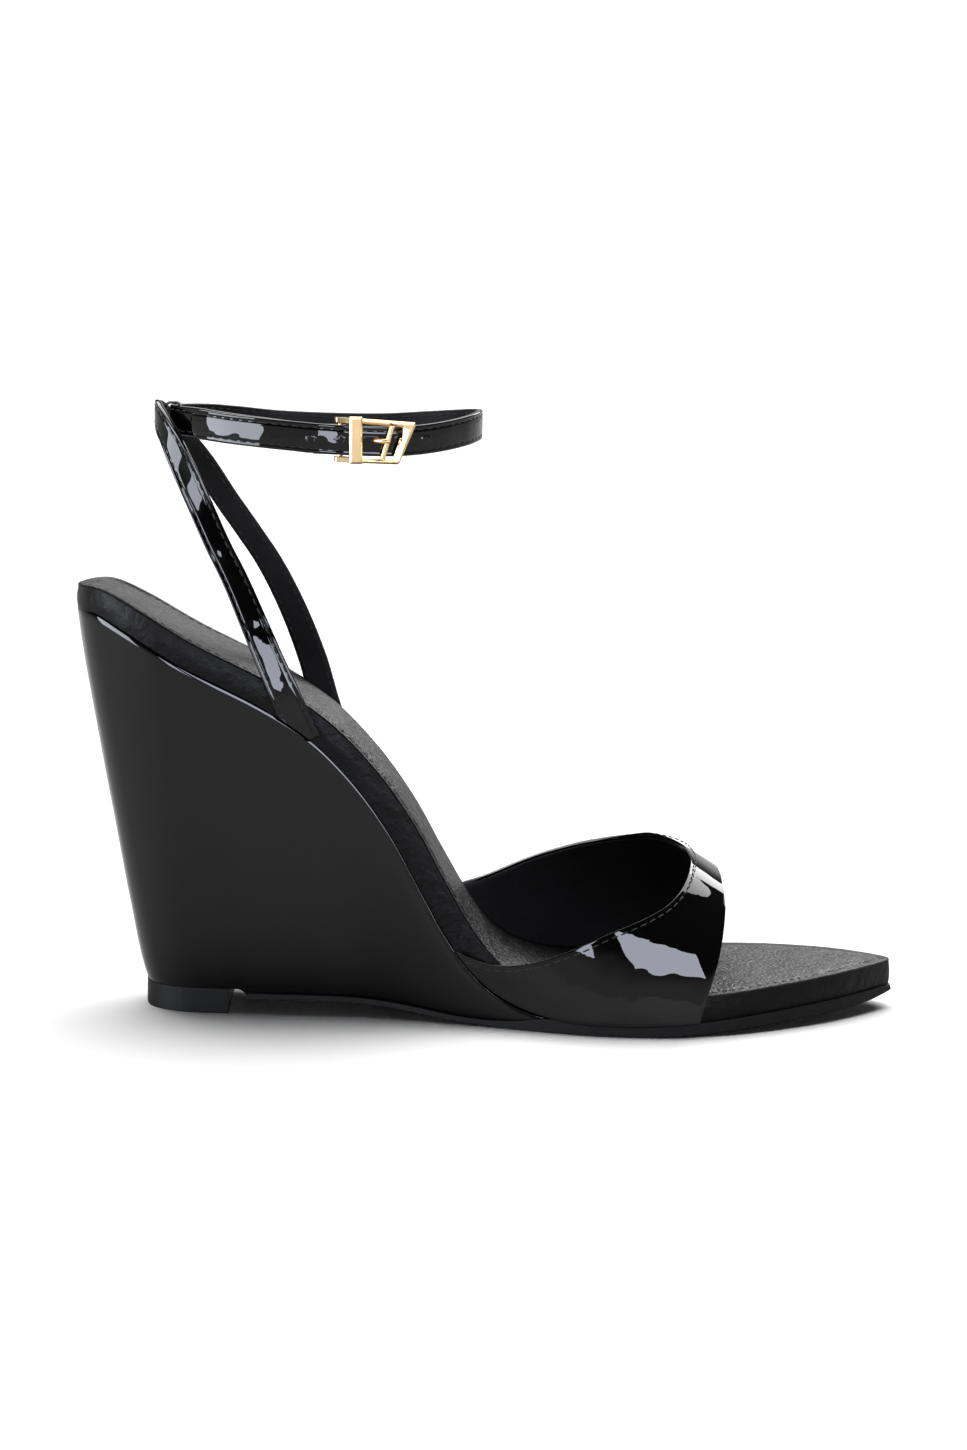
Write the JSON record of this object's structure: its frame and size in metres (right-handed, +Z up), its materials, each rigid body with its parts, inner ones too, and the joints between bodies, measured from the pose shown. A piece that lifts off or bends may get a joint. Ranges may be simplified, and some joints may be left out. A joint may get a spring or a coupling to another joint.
{
  "type": "wedge sandal",
  "caption": "High wedge sandal with a padded footbed, wide forefoot band, two-legged sling strap and a buckled ankle strap; right foot.",
  "frame": {"origin": "centre of the heel top lift's underside, on the ground", "axes": "+X from heel to toe, +Y to the medial side of the right foot, +Z up"},
  "size_m": [0.218, 0.0816, 0.1596],
  "materials": {
    "patent_leather": "high gloss patent",
    "smooth_leather": "satin",
    "sock_leather": "fine grain, matte",
    "lining_leather": "matte",
    "lift_rubber": "matte",
    "sole_rubber": "matte",
    "moulded_plastic": "matte",
    "fibreboard": "matte",
    "shank_steel": "brushed",
    "foam": "soft",
    "gold_metal": "polished"
  },
  "bodies": {
    "sandal": {"wedge_core": "moulded_plastic", "wedge_cover": "patent_leather", "top_lift": "lift_rubber", "lift_dowels": "moulded_plastic", "outsole": "sole_rubber", "insole_board": "fibreboard", "steel_shank": "shank_steel", "shank_rivets": "shank_steel", "heel_screws": "shank_steel", "footbed_foam": "foam", "footbed_band": "smooth_leather", "sock_lining": "sock_leather", "vamp_upper": "patent_leather", "vamp_lining": "lining_leather", "sling_outer": "patent_leather", "sling_lining": "lining_leather", "strap_loop": "patent_leather"},
    "ankle_strap": {"ankle_outer": "patent_leather", "ankle_lining": "lining_leather", "buckle_chape": "patent_leather"},
    "buckle": {"buckle_frame": "gold_metal"},
    "prong": {"buckle_prong": "gold_metal"}
  },
  "joints": [
    {"name": "ankle_strap_swing", "type": "hinge", "parent": "sandal", "child": "ankle_strap", "pos_m": [-0.0067, 0, 0.1546], "axis": [0, -1, 0], "range_deg": [-8, 8]},
    {"name": "buckle_tilt", "type": "hinge", "parent": "ankle_strap", "child": "buckle", "pos_m": [0.0376, -0.0289, 0.1515], "axis": [0, 0, -1], "range_deg": [0, 4]},
    {"name": "prong_lift", "type": "hinge", "parent": "buckle", "child": "prong", "pos_m": [0.0376, -0.0289, 0.1515], "axis": [0, 0, -1], "range_deg": [0, 4]}
  ]
}
